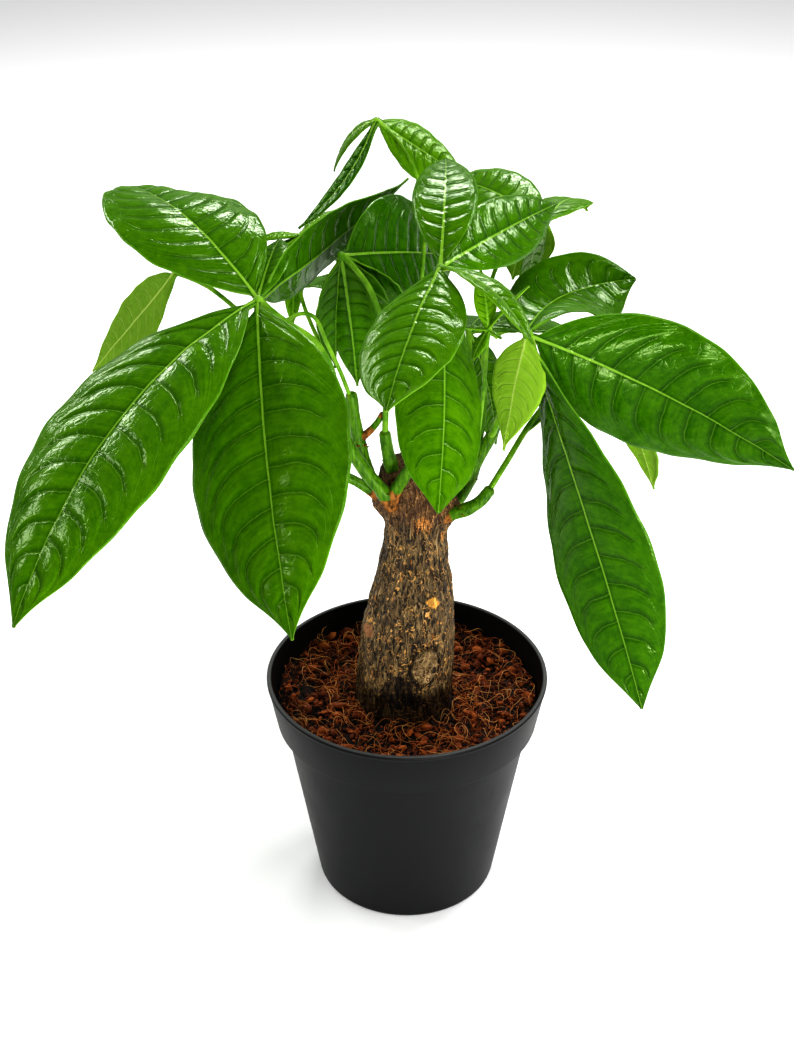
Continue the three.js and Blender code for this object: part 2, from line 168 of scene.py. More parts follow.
def relief(start, height, depth, strength):
    sockets = {"Height": height, "Distance": depth * millimetre, "Strength": strength}
    return start.node("ShaderNodeBump", {}, sockets)


def make_piece(name, bm, *materials):
    bmesh.ops.scale(bm, vec=(millimetre,) * 3, verts=bm.verts)
    mesh = bpy.data.meshes.new(name)
    bm.to_mesh(mesh)
    bm.free()
    mesh.shade_smooth()
    for material in materials:
        mesh.materials.append(material)
    piece = bpy.data.objects.new(name, mesh)
    bpy.context.scene.collection.objects.link(piece)
    return piece


def turned(profile, steps):
    """A profile of radii and heights turned round the upright axis into a closed skin."""
    bm = bmesh.new()
    corners = [bm.verts.new((radius, 0, height)) for radius, height in profile]
    edges = [bm.edges.new(pair) for pair in zip(corners, corners[1:])]
    bmesh.ops.spin(
        bm,
        geom=corners + edges,
        cent=(0, 0, 0),
        axis=(0, 0, 1),
        angle=2 * math.pi,
        steps=steps,
        use_merge=True,
    )
    bmesh.ops.remove_doubles(bm, verts=bm.verts, dist=0.0001)
    bmesh.ops.recalc_face_normals(bm, faces=bm.faces)
    return bm


pot_profile = [
    (0, 0),
    (34, 0),
    (34.6, 0.8),
    (37.4, 0.8),
    (38, 0),
    (pot_base_radius - 0.4, 0.4),
    (pot_base_radius, 1.8),
    (body_top_radius, collar_foot),
    (collar_foot_radius, collar_foot),
    (pot_rim_radius - 0.4, pot_height - 2.2),
    (pot_rim_radius, pot_height - 1.6),
    (pot_rim_radius, pot_height - 0.7),
    (pot_rim_radius - 0.6, pot_height),
    (pot_rim_radius - 1.6, pot_height),
    (pot_rim_radius - 2.2, pot_height - 0.8),
    (collar_foot_radius - pot_wall, collar_foot + pot_wall),
    (body_top_radius - pot_wall, collar_foot + 1),
    (pot_base_radius - pot_wall, pot_floor),
    (0, pot_floor),
]
bm = turned(pot_profile, 144)
sharp = [edge for edge in bm.edges if edge.calc_face_angle(0) > math.radians(14)]
bmesh.ops.bevel(
    bm,
    geom=sharp,
    offset=0.35,
    offset_type="OFFSET",
    affect="EDGES",
    segments=2,
    profile=0.5,
    material=-1,
    clamp_overlap=True,
)
pot_plastic, start = new_finish("pot_plastic")
place = in_millimetres(start)
mould_grain = grain(start, place, 1.6, 3, 0.6)
cloudy = grain(start, place, 0.05, 2)
dust = grain(start, in_millimetres(start, (1, 1, 0.25)), 0.35, 4, 0.7).rising(0.58, 0.8)
pot_black = cloudy.between(dye(24, 24, 25), dye(31, 31, 32))
# Painted highlight: the top of the rolled lip is coloured light grey, for the light it catches.
lip_highlight = place.part(2).rising(pot_height - 0.6, pot_height - 0.1)
pot_black = painted(pot_black, (dust * 0.2, dye(62, 60, 58)), (lip_highlight * 0.6, dye(96, 96, 96)))
feed(start, {
    "Base Color": pot_black,
    "Roughness": 0.4 + cloudy * 0.12 + dust * 0.15,
    "Normal": relief(start, mould_grain, 0.05, 0.35),
    "Specular IOR Level": 0.16,
})
pot = make_piece("pot_shell", bm, pot_plastic)
drills = bmesh.new()
for i in range(drain_holes):
    angle = 2 * math.pi * (i + 0.5) / drain_holes
    spot = (drain_ring * math.cos(angle), drain_ring * math.sin(angle), pot_floor / 2)
    lay = Matrix.Translation(spot)
    bmesh.ops.create_cone(
        drills,
        cap_ends=True,
        segments=32,
        radius1=drain_radius,
        radius2=drain_radius,
        depth=9,
        matrix=lay,
    )
drill = make_piece("drain_drill", drills, pot_plastic)
holes = pot.modifiers.new("drain_holes", "BOOLEAN")
holes.operation = "DIFFERENCE"
holes.solver = "EXACT"
holes.object = drill
holed = pot.evaluated_get(bpy.context.evaluated_depsgraph_get())
pot_mesh = bpy.data.meshes.new_from_object(holed)
pot.modifiers.clear()
pot.data = pot_mesh
bpy.data.objects.remove(drill)
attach(pot, "root")
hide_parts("pot")


# Growing medium: coir, the chopped husk of coconuts. It fills the pot and is heaped a little
# against the wall, with chips pressed into it and loose curled fibres lying over the chips.
medium_top = 88
medium_edge = 55.4
ring_spacing = 0.63
fibre_edge = 55
chip_count = 2100
chance = random.Random(11)
noise.seed_set(11)


def smooth_rise(value, low, high):
    share = min(1, max(0, (value - low) / (high - low)))
    return share * share * (3 - 2 * share)


def medium_height(radius, angle):
    mound = 2.5 * math.cos(math.pi * radius / 112) + 5.5 * smooth_rise(radius, 34, 54)
    lumps = 0.9 * math.sin(radius * 0.31 + 3 * angle) * math.cos(5 * angle - radius * 0.13)
    return medium_top + mound + lumps + 0.7 * math.sin(11 * angle + radius * 0.7)


def crumble(place):
    coarse = noise.voronoi(place * 0.28)[0]
    crumbs = 1.6 * (coarse[1] - coarse[0]) - 0.9
    fine = noise.noise(place * 0.75) * 0.7 + noise.noise(place * 1.7) * 0.35
    return 1.1 * crumbs + fine


medium_profile = [(0, 2.9), (37.2, 2.9), (50.6, 83), (51, 84.6), (53.9, 85.2), (54.6, 86.5)]
medium_profile += [(medium_edge - ring_spacing * i, medium_top) for i in range(61)]
medium_profile += [(10, medium_top), (0, medium_top)]
bm = turned(medium_profile, 300)
tones = bm.verts.layers.float.new("tone")
for vertex in bm.verts:
    radius = math.hypot(vertex.co.x, vertex.co.y)
    if vertex.co.z == medium_top:
        crumbs = crumble(vertex.co)
        settled = 1 - max(0, radius - 53.4) / 2
        vertex.co.z = medium_height(radius, math.atan2(vertex.co.y, vertex.co.x)) - 1.2
        vertex.co.z += crumbs * settled
        # Painted shade: the mound's tone follows its crumb relief, darker down in the cracks between
        # crumbs.
        vertex[tones] = 0.06 + 0.12 * crumbs


def carried(start, name):
    """A value that the vertices of a piece carry under a name."""
    return start.node("ShaderNodeAttribute", {"attribute_name": name}, out=2)


coir, start = new_finish("coir")
place = in_millimetres(start)
tone = carried(start, "tone")
speckle = grain(start, place, 0.9, 4, 0.7)
strands = grain(start, place, 0.45, 3, 0.6, 2.5)
shade = tone + (speckle - 0.5) * 0.55 + (strands - 0.5) * 0.35
coir_stops = [
    (0, dye(12, 5, 2)),
    (0.22, dye(74, 33, 10)),
    (0.45, dye(130, 64, 20)),
    (0.7, dye(184, 102, 40)),
    (1, dye(240, 176, 104)),
]
coir_brown = start.node("ShaderNodeValToRGB", {"stops": coir_stops}, {0: shade})
feed(start, {
    "Base Color": coir_brown,
    "Roughness": 0.92 - 0.2 * tone,
    "Normal": relief(start, speckle, 0.5, 0.8),
})
medium = make_piece("coir_mound", bm, coir)
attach(medium, "root")
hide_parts("growing_medium")


def trunk_edge(angle):
    """How far from the axis the medium is clear of the trunk, at an angle round it."""
    return 21.5 + 0.9 * math.cos(angle - math.pi)


bm = bmesh.new()
tones = bm.verts.layers.float.new("tone")
for i in range(chip_count):
    angle = chance.uniform(0, 2 * math.pi)
    radius = math.sqrt(chance.uniform(trunk_edge(angle) ** 2, 54.8**2))
    big = chance.random() < 0.09
    size = chance.uniform(1.6, 3.4) if big else chance.uniform(0.45, 1.4)
    height = medium_height(radius, angle) - 0.9 + chance.uniform(-0.3, 0.9)
    lay = Matrix.Translation((radius * math.cos(angle), radius * math.sin(angle), height))
    lay = lay @ Matrix.Rotation(chance.uniform(0, 2 * math.pi), 4, "Z")
    lay = lay @ Matrix.Rotation(chance.uniform(-0.7, 0.7), 4, "X")
    flat = chance.uniform(0.25, 0.6)
    lay = lay @ Matrix.Diagonal((1, chance.uniform(0.4, 0.8), flat, 1))
    made = bmesh.ops.create_icosphere(bm, subdivisions=1, radius=size, matrix=lay)
    colour = chance.uniform(0.3, 0.62) if big else chance.uniform(0.12, 0.6)
    for vertex in made["verts"]:
        vertex.co += noise.noise_vector(vertex.co * 1.3) * size * 0.35
        vertex[tones] = colour
chips = make_piece("coir_chips", bm, coir)
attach(chips, "root")


def loose_fibres(count, thickness, length, lift, widest, places=13):
    """Curled fibres lying on the mound, as tubes. Each wanders and arches over the chips."""
    curve = bpy.data.curves.new("fibres", "CURVE")
    curve.dimensions = "3D"
    curve.bevel_depth = thickness
    curve.bevel_resolution = 0
    curve.use_fill_caps = True
    for i in range(count):
        angle = chance.uniform(0, 2 * math.pi)
        radius = math.sqrt(chance.uniform(trunk_edge(angle) ** 2, widest**2))
        spot = Vector((radius * math.cos(angle), radius * math.sin(angle), 0))
        heading = chance.uniform(0, 2 * math.pi)
        curl = chance.gauss(0, 0.26)
        reach = chance.uniform(*length) / places
        arch = chance.uniform(*lift)
        phase = chance.uniform(0, 3)
        strand = curve.splines.new("POLY")
        strand.points.add(places - 1)
        for j in range(places):
            along = j / (places - 1)
            off = math.hypot(spot.x, spot.y)
            bearing = math.atan2(spot.y, spot.x)
            if off > fibre_edge:
                heading += 0.9
                spot *= fibre_edge / off
            if off < trunk_edge(bearing):
                heading += 0.7
                spot *= trunk_edge(bearing) / off
            ground = medium_height(off, bearing) - 0.3
            rise = arch * math.sin(math.pi * along) + 0.35 * math.sin(9 * along + phase)
            strand.points[j].co = (spot.x, spot.y, ground + rise, 1)
            strand.points[j].radius = 1 - 0.65 * abs(2 * along - 0.8) ** 2
            heading += curl + chance.gauss(0, 0.22)
            spot += Vector((math.cos(heading), math.sin(heading), 0)) * reach
    holder = bpy.data.objects.new("fibres", curve)
    mesh = bpy.data.meshes.new_from_object(holder)
    bpy.data.objects.remove(holder)
    return mesh


bm = bmesh.new()
tones = bm.verts.layers.float.new("tone")
fibre_kinds = [
    (300, 0.14, (6, 13), (0.1, 1.2), 0.32, 54),
    (270, 0.14, (7, 15), (0.2, 2), 0.48, 54),
    (210, 0.12, (8, 18), (0.8, 3.4), 0.7, 54),
    (150, 0.11, (9, 21), (1.6, 5), 0.96, 54),
    (50, 0.12, (10, 22), (2, 7), 0.76, 30),
]
for count, thickness, length, lift, colour, widest in fibre_kinds:
    already = len(bm.verts)
    bm.from_mesh(loose_fibres(count, thickness, length, lift, widest))
    bm.verts.ensure_lookup_table()
    for vertex in bm.verts[already:]:
        vertex[tones] = colour + 0.2 * noise.noise(vertex.co * 0.15)
fibres = make_piece("coir_fibres", bm, coir)
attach(fibres, "root")


# Trunk: a squat bottle of wood under grey-brown bark with fine upright ridges. It carries a
# big healed knot low in front, a fresh pruning spot, a scar, and collars under the shoots.
trunk_rings = [
    (62, -1.3, 17),
    (92, -1.1, 20.1),
    (112, -0.4, 20.2),
    (128, 0.6, 19.1),
    (144, 1.7, 17.2),
    (158, 2.6, 14.7),
    (173, 3.4, 12.8),
    (184, 4, 13.2),
    (194, 3, 14.6),
    (204, 1.5, 12.4),
]
Swelling = namedtuple("Swelling", "angle z height spread reach")
knot = Swelling(-68, 117, 2.2, 16, 8)
pruning_spot = Swelling(-60, 148, 0.8, 13, 4)
left_scar = Swelling(200, 131, 1.2, 18, 6)
trunk_swellings = [
    knot,
    pruning_spot,
    left_scar,
    Swelling(192, 188, 4.2, 26, 6),
    Swelling(-8, 186, 4.6, 28, 6),
    Swelling(100, 180, 1.4, 30, 8),
    Swelling(80, 122, 1.6, 20, 9),
]
hollow = Swelling(-96, 105, 3.2, 15, 8)
scratches = Swelling(-80, 184, 0, 12, 4)
knot_hole = Swelling(-58, 117, 0, 4, 2)
bark_middle = 133
bark_half = 71
crown_shift = 1.5


def smooth_line(places, steps):
    """Evenly many points on a smooth line through some places."""
    points = [Vector(place) for place in places]
    line = []
    spans = len(points) - 1
    for i in range(spans):
        first, second = points[i], points[i + 1]
        before = points[i - 1] if i else first
        after = points[i + 2] if i + 2 < len(points) else second
        reach = (second - first).length
        leaving = (second - before).normalized() * reach / 3
        arriving = (after - first).normalized() * reach / 3
        count = max(2, round(steps / spans)) + 1
        part = geometry.interpolate_bezier(first, first + leaving, second - arriving, second, count)
        line += part if i == 0 else part[1:]
    return line


trunk_line = smooth_line(trunk_rings, 180)
trunk_heights = [level.x for level in trunk_line]


def ring_at(z):
    """The trunk's sideways shift and its radius at a height."""
    upper = min(len(trunk_line) - 1, max(1, bisect.bisect(trunk_heights, z)))
    low, high = trunk_line[upper - 1], trunk_line[upper]
    level = low.lerp(high, min(1, max(0, (z - low.x) / (high.x - low.x))))
    return level.y, level.z


def bulge(swelling, angle, z):
    across = (math.degrees(angle) - swelling.angle + 180) % 360 - 180
    fall = (across / swelling.spread) ** 2 + ((z - swelling.z) / swelling.reach) ** 2
    return swelling.height * math.exp(-fall)


def bark_radius(angle, z):
    radius = ring_at(z)[1]
    ridge = 0.022 * math.sin(9 * angle + 2 * math.sin(z / 18))
    ridge += 0.014 * math.sin(14 * angle - z / 9)
    radius *= 1 + ridge
    radius += sum(bulge(swelling, angle, z) for swelling in trunk_swellings)
    return radius - bulge(hollow, angle, z)


def bark_texture(angle, z):
    """Height of the bark's upright ridges and cracks, and how crusty it is there."""
    round_place = Vector((math.cos(angle) * 19, math.sin(angle) * 19, z * 0.26))
    warp = noise.noise_vector(round_place * 0.16) * 2
    ridges = noise.ridged_multi_fractal((round_place + warp) * 0.5, 0.9, 2.1, 3, 0.9, 1.6)
    plates = noise.noise(round_place * 0.45)
    return ridges / 2.2, plates


def knot_shape(angle, z):
    """How far out of the knot's middle a place is, how far it stands out, and its crevice."""
    across = ((math.degrees(angle) - knot.angle + 180) % 360 - 180) / knot.spread
    up = (z - knot.z - 2.5) / (knot.reach * 0.95)
    off = math.hypot(across, up) + 0.14 * noise.noise(Vector((across, up, 3)) * 2)
    rim = math.exp(-(((off - 0.92) / 0.13) ** 2)) * (0.5 + 0.8 * smooth_rise(up, -0.5, 0.7))
    crevice = math.exp(-(((off - 1.22) / 0.14) ** 2))
    bearing = math.atan2(up, across)
    creases = math.sin(5 * bearing + 4 * off) + 0.7 * math.sin(11 * bearing - 9 * off)
    creases *= math.exp(-((off / 0.85) ** 2))
    return off, 1.5 * rim + 0.4 * creases - 0.8 * crevice, crevice


def on_bark(swelling):
    angle = math.radians(swelling.angle)
    radius = bark_radius(angle, swelling.z)
    shift = ring_at(swelling.z)[0]
    return (shift + radius * math.cos(angle), radius * math.sin(angle), swelling.z)


def extrude_ring(bm, ring):
    """Extrudes a ring of edges. Returns the new ring and its vertices."""
    made = bmesh.ops.extrude_edge_only(bm, edges=ring)["geom"]
    ends = [item for item in made if isinstance(item, bmesh.types.BMVert)]
    edges = [item for item in made if isinstance(item, bmesh.types.BMEdge)]
    return [edge for edge in edges if edge.is_boundary], ends


bm = bmesh.new()
relief_shade_and_tone_layer = bm.verts.layers.float.new("crust")
woods = bm.verts.layers.float.new("wood")
bmesh.ops.create_grid(bm, x_segments=320, y_segments=230, size=1)
for vertex in bm.verts:
    angle = math.pi * round(vertex.co.x, 5)
    z = bark_middle + bark_half * vertex.co.y
    ridges, plates = bark_texture(angle, z)
    off, stands, crevice = knot_shape(angle, z)
    inside = 1 - smooth_rise(off, 0.9, 1.1)
    worn = max(inside, bulge(pruning_spot, angle, z) / 0.8)
    depth = 1.1 - 0.8 * min(1, worn)
    radius = bark_radius(angle, z) + (ridges - 0.55) * depth + 0.5 * plates + stands
    # Painted shade: the carried tone is the ridge height, so the bark is coloured darker in its grooves and
    # in the knot's crevice.
    vertex[relief_shade_and_tone_layer] = ridges - 0.9 * crevice
    vertex[woods] = inside
    shift = ring_at(z)[0]
    vertex.co = (shift + radius * math.cos(angle), radius * math.sin(angle), z)
bmesh.ops.remove_doubles(bm, verts=bm.verts, dist=0.001)
open_edges = [edge for edge in bm.edges if edge.is_boundary]
foot = [edge for edge in open_edges if edge.verts[0].co.z < bark_middle]
rim = [edge for edge in open_edges if edge.verts[0].co.z > bark_middle]
for share, lift in ((0.82, 1.1), (0.6, 0.9), (0.3, 0.5)):
    rim, ring = extrude_ring(bm, rim)
    for vertex in ring:
        vertex.co.x = crown_shift + (vertex.co.x - crown_shift) * share
        vertex.co.y *= share
        vertex.co.z += lift + 0.5 * noise.noise(vertex.co * 0.4)
        # On the crown the carried tone varies at random.
        vertex[relief_shade_and_tone_layer] = 0.4 + 0.4 * noise.noise(vertex.co * 0.6)
bmesh.ops.holes_fill(bm, edges=rim + foot, sides=0)
bmesh.ops.recalc_face_normals(bm, faces=bm.faces)

bark, start = new_finish("bark")
place = in_millimetres(start)
upright = in_millimetres(start, (1, 1, 0.26))
height = place.part(2)
crust = carried(start, "crust")
wood = carried(start, "wood")
fine_ridges = grain(start, upright, 0.8, 4, 0.65, 0.8)
patchy = grain(start, place, 0.09, 3, 0.6)
specks = grain(start, place, 1.7, 3, 0.6)
strips = in_millimetres(start, (1, 1, 0.17))
wander = grain(start, strips, 0.55, 2, 0.5, 0.7)
# Painted highlights and shade: crest lines are coloured lighter, as highlights. Crack lines are darker,
# partly the bark's own dark grooves and partly painted shade.
cracks = wander.line(0.5, 0.008, 0.045)
highlit_crests = wander.line(0.6, 0.01, 0.05)
curling = grain(start, in_millimetres(start, (1, 1, 0.75)), 0.25, 1, 0.5, 1.6)
worm_spots = grain(start, place, 0.16, 2, 0.5) - (height - 150) * 0.0012
worm_ends = grain(start, place, 0.4, 2).rising(0.42, 0.48)
worms = curling.line(0.5, 0.014, 0.04) * worm_spots.rising(0.4, 0.5) * worm_ends


def patch(start, place, swelling, radius, ragged):
    """How much of a place lies in a patch of the bark, with a ragged edge."""
    middle = on_bark(swelling)
    sockets = {0: place, 1: middle}
    away = start.node("ShaderNodeVectorMath", {"operation": "DISTANCE"}, sockets, out=1)
    uneven = (grain(start, place, 0.5, 3) - 0.5) * (radius * ragged * 2)
    return 1 - (away + uneven).rising(radius * 0.85, radius * 1.15)


# The bark is painted lighter where its fine ridges and crests stand up and darker where they sink, as
# painted light and shade.
bark_shade = 0.43 + (crust - 0.5) * 0.4 + (fine_ridges - 0.5) * 0.6 + (patchy - 0.5) * 0.3
bark_shade = bark_shade + (specks - 0.5) * 0.25 - cracks * 0.3 + highlit_crests * 0.24
bark_stops = [
    (0, dye(22, 14, 7)),
    (0.25, dye(68, 52, 31)),
    (0.5, dye(128, 106, 70)),
    (0.75, dye(186, 156, 108)),
    (1, dye(230, 200, 146)),
]
bark_brown = start.node("ShaderNodeValToRGB", {"stops": bark_stops}, {0: bark_shade})
fleck_cells = start.node("ShaderNodeTexVoronoi", {}, {"Vector": upright, "Scale": 0.42})
fleck_wander = grain(start, place, 0.12, 2).rising(0.5, 0.66)
flecks = (1 - fleck_cells.rising(0.12, 0.24)) * fleck_wander
damp = 1 - (height + (patchy - 0.5) * 60 + (fine_ridges - 0.5) * 30).rising(90, 116)
crown_bark = (height + (patchy - 0.5) * 14 + (fine_ridges - 0.5) * 20).rising(178, 190)
crown_brown = (highlit_crests * 0.5 + fine_ridges * 0.7).between(dye(48, 28, 12), dye(166, 110, 58))
knot_grain = grain(start, in_millimetres(start, (1, 1, 0.6)), 0.7, 5, 0.7, 1.5)
# The knot is painted darker in its crevice, as shade.
knot_shade = knot_grain.rising(0.3, 0.7) * 0.6 + crust * 0.55
knot_cracks = grain(start, place, 0.3, 2, 0.5, 1).line(0.5, 0.008, 0.04)
knot_brown = (knot_shade - knot_cracks * 0.7).between(dye(92, 66, 38), dye(244, 208, 146))
dark_streaks = grain(start, in_millimetres(start, (1, 1, 0.2)), 0.6, 3, 0.6).rising(0.3, 0.55)
hollow_dark = patch(start, place, hollow, 8.5, 1.1) * dark_streaks
pit = patch(start, place, knot_hole, 1.4, 0.6)
pruned = patch(start, place, pruning_spot, 2.5, 0.8)
scratched = patch(start, place, scratches, 3.8, 1.2) * (1 - cracks) * specks.rising(0.42, 0.6)
scar_brown = knot_grain.between(dye(150, 96, 54), dye(206, 152, 104))
scarred = patch(start, place, left_scar._replace(angle=209), 3, 1)
bark_brown = painted(
    bark_brown,
    (worms * 0.9, dye(240, 184, 108)),
    (flecks * 0.85, dye(214, 140, 66)),
    (damp * 0.6, dye(48, 26, 13)),
    (crown_bark * 0.55, crown_brown),
    (wood * 0.95, knot_brown),
    (hollow_dark * 0.92, dye(18, 9, 5)),
    (pit * 0.9, dye(24, 15, 9)),
    (pruned, knot_grain.between(dye(232, 148, 48), dye(255, 200, 104))),
    (scratched * 0.9, dye(236, 156, 72)),
    (scarred * 0.85, scar_brown),
)
bark_height = fine_ridges + specks * 0.3 + flecks * 0.5 + worms - cracks * 0.8
bark_height = bark_height + highlit_crests * 0.5 + knot_grain * wood
feed(start, {
    "Base Color": bark_brown,
    "Roughness": 0.75 - 0.25 * fine_ridges,
    "Normal": relief(start, bark_height, 1.2, 1),
})
trunk = make_piece("trunk_bark", bm, bark)
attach(trunk, "root")
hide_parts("trunk")


# Green shoots: soft stems that sprout from the trunk's crown. Each has a swollen node with
# brown dried scales where old leaves came off, and carries the leaf stalks at its tip.
Stem = namedtuple("Stem", "places foot_radius tip_radius")
Shoot = namedtuple("Shoot", "stems node node_radius")
shoots = {
    "shoot_left": Shoot(
        [
            Stem([(-8, -1, 186), (-14, -1, 196), (-17, -1, 205), (-19, -1, 214),
                  (-21, -1, 226), (-22, -1, 236)], 3.2, 2.4),
            Stem([(-11, -3, 191), (-15, -5, 196), (-19, -6, 199.5), (-24, -7, 203)], 2.4, 1.9),
            Stem([(-19, -1, 217), (-15, -2, 221), (-12, -2.5, 225), (-10, -3, 229)], 1.6, 1.1),
        ],
        (-18.8, -1.4, 214.5),
        3,
    ),
    "shoot_front": Shoot(
        [
            Stem([(-6, -10, 191), (-9, -12, 198), (-16, -13, 208), (-22, -14, 219),
                  (-26, -15, 227.5)], 3, 2.4),
            Stem([(-7, -11, 194), (-4, -13.4, 202), (1, -16, 212)], 2.6, 2.4),
        ],
        (-8, -12, 197.5),
        3.5,
    ),
    "shoot_centre": Shoot(
        [Stem([(-3.5, -3.5, 194), (-6, -4, 204), (-8, -5, 214), (-9, -5.6, 221.5)], 2.8, 2.3)],
        (-7, -4.4, 208),
        3.1,
    ),
    "shoot_rear": Shoot(
        [Stem([(4, 6, 194), (3, 8, 204), (0, 10, 213), (-2, 12, 221)], 2.9, 2.4)],
        (1.4, 9, 208.5),
        3.1,
    ),
    "shoot_right": Shoot(
        [Stem([(15, 3.5, 181), (21, 4.4, 187), (25, 5.4, 195), (28, 6, 203), (34, 7, 215)], 2.9, 2.4)],
        (25, 5.4, 195.5),
        3.2,
    ),
    "shoot_low_right": Shoot(
        [Stem([(11, -6, 182), (18, -7, 186), (24, -8, 189), (29, -8, 192.5), (32.5, -7.4, 197)], 2.6, 2.4)],
        (23, -8, 188.6),
        2.9,
    ),
}


def facing_way(place, way):
    """Carries a shape to a place and turns its upright axis to face a way."""
    return Matrix.Translation(place) @ way.to_track_quat("Z", "Y").to_matrix().to_4x4()


def grow_stem(bm, line, radii, sides):
    """A stem grown ring by ring along a line, rounded off at its tip. Returns its vertices."""
    middle = line[0]
    facing = (line[1] - line[0]).normalized()
    lay = facing_way(middle, facing)
    made = bmesh.ops.create_circle(bm, cap_ends=True, segments=sides, radius=radii[0], matrix=lay)
    grown = list(made["verts"])
    ring = list(dict.fromkeys(edge for vertex in grown for edge in vertex.link_edges))
    places = list(line[1:])
    widths = list(radii[1:])
    tip_facing = (line[-1] - line[-2]).normalized()
    for share in (0.45, 0.75, 0.95):
        places.append(line[-1] + tip_facing * radii[-1] * share * 0.7)
        widths.append(radii[-1] * math.sqrt(1 - share**2))
    width = radii[0]
    for i, (place, next_width) in enumerate(zip(places, widths)):
        after = places[i + 1] if i + 1 < len(places) else place + tip_facing
        next_facing = (after - middle).normalized() if i + 1 < len(line) - 1 else tip_facing
        ring, ends = extrude_ring(bm, ring)
        turn = facing.rotation_difference(next_facing).to_matrix().to_4x4()
        step = Matrix.Translation(place) @ turn
        step = step @ Matrix.Diagonal((next_width / width,) * 3 + (1,))
        step = step @ Matrix.Translation(-middle)
        bmesh.ops.transform(bm, matrix=step, verts=ends)
        grown += ends
        middle, facing, width = place, next_facing, next_width
    bmesh.ops.holes_fill(bm, edges=ring, sides=0)
    return grown


def tapered(line, start_radius, end_radius):
    last = len(line) - 1
    return [start_radius + (end_radius - start_radius) * i / last for i in range(last + 1)]


def dried_scale(bm, place, outward, length, width):
    """One dried leaf scale: a thin pointed cup that stands off the stem."""
    lay = facing_way(place, outward) @ Matrix.Diagonal((1, 0.4, 1, 1))
    made = bmesh.ops.create_cone(
        bm,
        cap_ends=True,
        segments=10,
        radius1=width,
        radius2=width * 0.12,
        depth=length,
        matrix=lay,
    )
    for vertex in made["verts"]:
        vertex.co += noise.noise_vector(vertex.co * 0.5) * 0.5
    return made["verts"]


shoot_green, start = new_finish("shoot_green")
place = in_millimetres(start)
age = carried(start, "age")
mottle = grain(start, place, 0.5, 4, 0.6)
lines = grain(start, in_millimetres(start, (1, 1, 0.15)), 0.9, 3, 0.6)
soft_green = (mottle * 0.35 + lines * 0.65).rising(0.3, 0.7)
soft_green = soft_green.between(dye(44, 86, 6), dye(98, 142, 30))
corky = (age + (mottle - 0.5) * 0.9 + (lines - 0.5) * 0.5).rising(0.42, 0.6)
cork_brown = (lines * 0.6 + mottle * 0.4).rising(0.35, 0.65)
cork_brown = cork_brown.between(dye(52, 30, 12), dye(168, 112, 60))
soft_green = corky.between(soft_green, cork_brown)
feed(start, {
    "Base Color": soft_green,
    "Roughness": 0.4 + corky * 0.4,
    "Specular IOR Level": 0.3,
    "Specular Tint": (0.8, 1, 0.55, 1),
    "Normal": relief(start, mottle + lines * 0.6, 0.35, 0.6),
})

for name, shoot in shoots.items():
    bm = bmesh.new()
    ages = bm.verts.layers.float.new("age")
    node_place = Vector(shoot.node)
    for stem in shoot.stems:
        line = smooth_line(stem.places, 34)
        radii = tapered(line, stem.foot_radius, stem.tip_radius)
        for i, place in enumerate(line):
            near = (place - node_place).length
            radii[i] += (shoot.node_radius - radii[i]) * 0.8 * math.exp(-((near / 3.2) ** 2))
            radii[i] *= 1 + 0.05 * noise.noise(place * 0.4)
        grown = grow_stem(bm, line, radii, 18)
        foot, tip = line[0], line[-1]
        for vertex in grown:
            from_foot = (vertex.co - foot).length
            from_tip = (vertex.co - tip).length
            near_node = (vertex.co - node_place).length
            old = 1 - smooth_rise(from_foot, 5, 11)
            old = max(old, 0.55 * math.exp(-((near_node / 3.5) ** 2)))
            stub = 0.8 * (1 - smooth_rise(from_tip, 0.5, 3.5))
            vertex[ages] = max(old, stub)
    for i in range(7):
        angle = chance.uniform(0, 2 * math.pi)
        outward = Vector((math.cos(angle), math.sin(angle), chance.uniform(0.3, 1.2)))
        spot = node_place + Vector((outward.x, outward.y, 0)) * (shoot.node_radius * 0.85)
        spot.z += chance.uniform(-1.5, 2.2)
        length = chance.uniform(1.8, 3.4)
        width = chance.uniform(0.8, 1.5)
        for vertex in dried_scale(bm, spot, outward, length, width):
            vertex[ages] = 1
    bmesh.ops.recalc_face_normals(bm, faces=bm.faces)
    piece = make_piece(name + "_stems", bm, shoot_green)
    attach(piece, "root")
    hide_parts(name)


